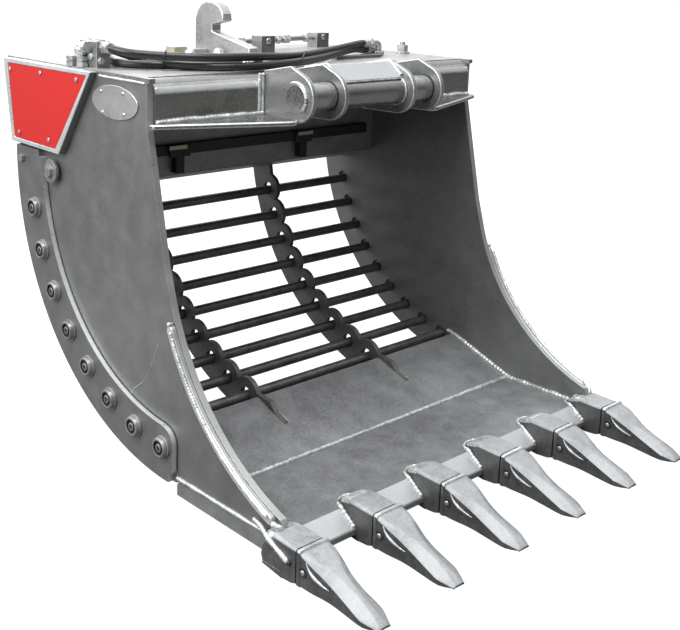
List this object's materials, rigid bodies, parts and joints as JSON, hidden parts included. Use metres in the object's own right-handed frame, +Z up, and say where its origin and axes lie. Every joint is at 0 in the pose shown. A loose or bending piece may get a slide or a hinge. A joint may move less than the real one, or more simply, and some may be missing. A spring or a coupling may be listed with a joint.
{
  "type": "screening bucket",
  "caption": "Excavator screening bucket: two-part teeth, loose round screen bars in scalloped ribs, coupler ears and a vibrating drive in the top box.",
  "frame": {"origin": "middle of the coupler pins' axis", "axes": "+Z up with the deck plate level, -Y towards the teeth, +Y to the round back, +X across the width to the bucket's left-hand side seen from behind"},
  "size_m": [1.052, 1.243, 0.987],
  "materials": {
    "silver_paint": "satin silver-grey metallic paint",
    "cast_teeth": "cast, painted light silver-grey",
    "bar_steel": "dark rolled bar",
    "plain_steel": "zinc-plated or machined",
    "red_plate": "gloss red",
    "dark_paint": "semi-matt black",
    "hose_rubber": "matt black"
  },
  "bodies": {
    "shell": {"side_plate_left": "silver_paint", "side_plate_right": "silver_paint", "edge_strip_left": "silver_paint", "edge_strip_right": "silver_paint", "cutting_plate": "silver_paint", "floor_plate": "silver_paint", "rib_left": "silver_paint", "rib_right": "silver_paint", "drive_housing": "silver_paint", "deck_plate": "silver_paint", "front_beam": "silver_paint", "beam_flange": "silver_paint", "ear_pair_left": "silver_paint", "ear_pair_right": "silver_paint", "coupler_pins": "plain_steel", "centre_tube": "silver_paint", "coupler_gusset": "silver_paint", "catch_hook": "silver_paint", "side_cover_left": "silver_paint", "side_cover_right": "silver_paint", "panel_left": "red_plate", "panel_right": "red_plate", "panel_rivets": "plain_steel", "badge_plate": "silver_paint", "retaining_strip_left": "silver_paint", "retaining_strip_right": "silver_paint", "strip_bolts_left": "plain_steel", "strip_bolts_right": "plain_steel", "guide_bolts": "plain_steel", "tooth_adapter_1": "silver_paint", "tooth_adapter_2": "silver_paint", "tooth_adapter_3": "silver_paint", "tooth_adapter_4": "silver_paint", "tooth_adapter_5": "silver_paint", "tooth_adapter_6": "silver_paint", "tooth_1": "cast_teeth", "tooth_2": "cast_teeth", "tooth_3": "cast_teeth", "tooth_4": "cast_teeth", "tooth_5": "cast_teeth", "tooth_6": "cast_teeth", "tooth_pins": "bar_steel", "seal_strip": "hose_rubber", "drive_bearing": "dark_paint", "hydraulic_motor": "dark_paint", "hose_upper": "hose_rubber", "hose_lower": "hose_rubber", "hose_short": "hose_rubber", "deck_fittings": "silver_paint", "deck_bolts": "plain_steel"},
    "bar_1": {"bar_1": "bar_steel"},
    "bar_2": {"bar_2": "bar_steel"},
    "bar_3": {"bar_3": "bar_steel"},
    "bar_4": {"bar_4": "bar_steel"},
    "bar_5": {"bar_5": "bar_steel"},
    "bar_6": {"bar_6": "bar_steel"},
    "bar_7": {"bar_7": "bar_steel"},
    "bar_8": {"bar_8": "bar_steel"},
    "bar_9": {"bar_9": "bar_steel"},
    "shaft": {"eccentric_shaft": "plain_steel"}
  },
  "joints": [
    {"name": "bar_1_play", "type": "slide", "parent": "shell", "child": "bar_1", "axis": [0, 0, 1], "range_m": [0, 0.0094]},
    {"name": "bar_2_play", "type": "slide", "parent": "shell", "child": "bar_2", "axis": [0, 0, 1], "range_m": [0, 0.0094]},
    {"name": "bar_3_play", "type": "slide", "parent": "shell", "child": "bar_3", "axis": [0, 0, 1], "range_m": [0, 0.0094]},
    {"name": "bar_4_play", "type": "slide", "parent": "shell", "child": "bar_4", "axis": [0, 0, 1], "range_m": [0, 0.0094]},
    {"name": "bar_5_play", "type": "slide", "parent": "shell", "child": "bar_5", "axis": [0, 0, 1], "range_m": [0, 0.0094]},
    {"name": "bar_6_play", "type": "slide", "parent": "shell", "child": "bar_6", "axis": [0, 0, 1], "range_m": [0, 0.0094]},
    {"name": "bar_7_play", "type": "slide", "parent": "shell", "child": "bar_7", "axis": [0, 0, 1], "range_m": [0, 0.0094]},
    {"name": "bar_8_play", "type": "slide", "parent": "shell", "child": "bar_8", "axis": [0, 0, 1], "range_m": [0, 0.0094]},
    {"name": "bar_9_play", "type": "slide", "parent": "shell", "child": "bar_9", "axis": [0, 0, 1], "range_m": [0, 0.0094]},
    {"name": "shaft_spin", "type": "hinge", "parent": "shell", "child": "shaft", "pos_m": [0, 0.529, -0.103], "axis": [1, 0, 0], "continuous": true}
  ]
}
